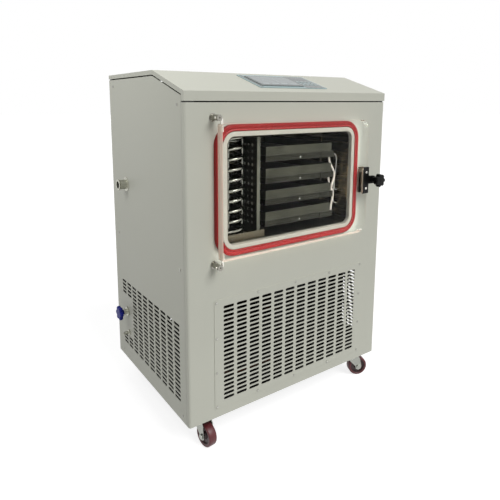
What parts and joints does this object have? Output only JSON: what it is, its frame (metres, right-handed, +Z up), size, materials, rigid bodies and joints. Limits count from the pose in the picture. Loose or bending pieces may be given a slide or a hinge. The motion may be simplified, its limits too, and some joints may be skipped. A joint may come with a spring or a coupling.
{
  "type": "freeze dryer",
  "caption": "Floor-standing freeze dryer: painted cabinet on casters, clear-doored square chamber with shelves, trays and a coil condenser, slotted vents and a sloping console.",
  "frame": {"origin": "centre of the outline's bounding box, on the floor under the casters", "axes": "+Z up, the chamber door faces -Y, +X to the right of a person who faces the door"},
  "size_m": [0.8818, 0.7056, 1.194],
  "materials": {
    "sheet": "satin",
    "side_sheet": "satin",
    "cover_sheet": "satin",
    "frame_steel": "satin",
    "panel_film": "satin",
    "screen": "satin",
    "black_plastic": "satin",
    "stainless": "satin",
    "polished": "polished",
    "dark_steel": "satin",
    "shelf_steel": "satin",
    "foam": "matte",
    "seal_rubber": "matte",
    "clear": "gloss",
    "silicone": "matte",
    "copper": "satin",
    "black_metal": "satin",
    "blue_plastic": "gloss",
    "zinc": "satin",
    "tread": "matte",
    "valve_metal": "satin"
  },
  "bodies": {
    "cabinet": {"base_frame": "frame_steel", "front_panel": "sheet", "vent_panel": "sheet", "side_panel_left": "side_sheet", "side_panel_right": "side_sheet", "back_panel": "side_sheet", "top_cover": "cover_sheet", "control_panel": "panel_film", "touch_screen": "screen", "gauge_display": "black_plastic", "chamber": "stainless", "chamber_foam": "foam", "door_seal": "seal_rubber", "condenser_coil": "polished", "coil_rods": "stainless", "baffle_plate": "dark_steel", "drip_tray": "stainless", "shelf_rack": "stainless", "shelf_1": "shelf_steel", "shelf_2": "shelf_steel", "shelf_3": "shelf_steel", "shelf_4": "shelf_steel", "tray_1": "stainless", "tray_2": "stainless", "tray_3": "stainless", "tray_4": "stainless", "shelf_hoses": "silicone", "sensor_leads": "silicone", "drain_pipe": "silicone", "hinge_posts": "polished", "hinge_rods": "polished", "clamp_boss": "stainless", "compressor": "black_metal", "condenser_radiator": "shelf_steel", "fan_motor": "black_metal", "fluid_tank": "stainless", "copper_lines": "copper", "electric_box": "cover_sheet", "vacuum_port": "polished", "drain_valve": "valve_metal", "drain_nozzle": "valve_metal", "cable_gland": "black_plastic", "panel_screws": "zinc", "caster_plates": "zinc"},
    "door": {"door_plate": "clear", "clamp_plate": "black_plastic", "clamp_backing": "stainless", "clamp_screws": "polished"},
    "clamp_collar": {"clamp_collar": "black_plastic"},
    "star_knob": {"star_knob": "black_plastic"},
    "valve_wheel": {"valve_wheel": "blue_plastic"},
    "fan": {"fan_blades": "shelf_steel"},
    "fork_front_left": {"fork_front_left": "zinc"},
    "fork_front_right": {"fork_front_right": "zinc"},
    "fork_rear_left": {"fork_rear_left": "zinc"},
    "fork_rear_right": {"fork_rear_right": "zinc"},
    "wheel_front_left": {"wheel_front_left": "tread"},
    "wheel_front_right": {"wheel_front_right": "tread"},
    "wheel_rear_left": {"wheel_rear_left": "tread"},
    "wheel_rear_right": {"wheel_rear_right": "tread"}
  },
  "joints": [
    {"name": "door_hinge", "type": "hinge", "parent": "cabinet", "child": "door", "pos_m": [-0.2949, -0.29725, 0.832], "axis": [0, 0, -1], "range_deg": [0, 165]},
    {"name": "clamp_travel", "type": "slide", "parent": "door", "child": "clamp_collar", "axis": [0, -1, 0], "range_m": [0, 0.012]},
    {"name": "knob_turn", "type": "hinge", "parent": "clamp_collar", "child": "star_knob", "pos_m": [0.3391, -0.34325, 0.82], "axis": [0, -1, 0], "range_deg": [0, 2466]},
    {"name": "valve_wheel_turn", "type": "hinge", "parent": "cabinet", "child": "valve_wheel", "pos_m": [-0.4309, 0.21975, 0.302], "axis": [-1, 0, 0], "range_deg": [0, 900]},
    {"name": "fan_spin", "type": "hinge", "parent": "cabinet", "child": "fan", "pos_m": [0.1691, -0.11225, 0.283], "axis": [0, 1, 0], "continuous": true},
    {"name": "swivel_front_left", "type": "hinge", "parent": "cabinet", "child": "fork_front_left", "pos_m": [-0.3289, -0.21825, 0.08], "axis": [0, 0, 1], "continuous": true},
    {"name": "roll_front_left", "type": "hinge", "parent": "fork_front_left", "child": "wheel_front_left", "pos_m": [-0.32618, -0.24411, 0.0375], "axis": [0.9945, 0.1045, 0], "continuous": true},
    {"name": "swivel_front_right", "type": "hinge", "parent": "cabinet", "child": "fork_front_right", "pos_m": [0.3671, -0.21825, 0.08], "axis": [0, 0, 1], "continuous": true},
    {"name": "roll_front_right", "type": "hinge", "parent": "fork_front_right", "child": "wheel_front_right", "pos_m": [0.39066, -0.22924, 0.0375], "axis": [0.4226, 0.9063, 0], "continuous": true},
    {"name": "swivel_rear_left", "type": "hinge", "parent": "cabinet", "child": "fork_rear_left", "pos_m": [-0.3289, 0.27675, 0.08], "axis": [0, 0, 1], "continuous": true},
    {"name": "roll_rear_left", "type": "hinge", "parent": "fork_rear_left", "child": "wheel_rear_left", "pos_m": [-0.30898, 0.26004, 0.0375], "axis": [0.6428, 0.766, 0], "continuous": true},
    {"name": "swivel_rear_right", "type": "hinge", "parent": "cabinet", "child": "fork_rear_right", "pos_m": [0.3671, 0.27675, 0.08], "axis": [0, 0, 1], "continuous": true},
    {"name": "roll_rear_right", "type": "hinge", "parent": "fork_rear_right", "child": "wheel_rear_right", "pos_m": [0.34267, 0.26786, 0.0375], "axis": [0.342, -0.9397, 0], "continuous": true}
  ],
  "couplings": [
    {"joint": "clamp_travel", "follows": "knob_turn", "m_per_rad": 0.00027852}
  ]
}
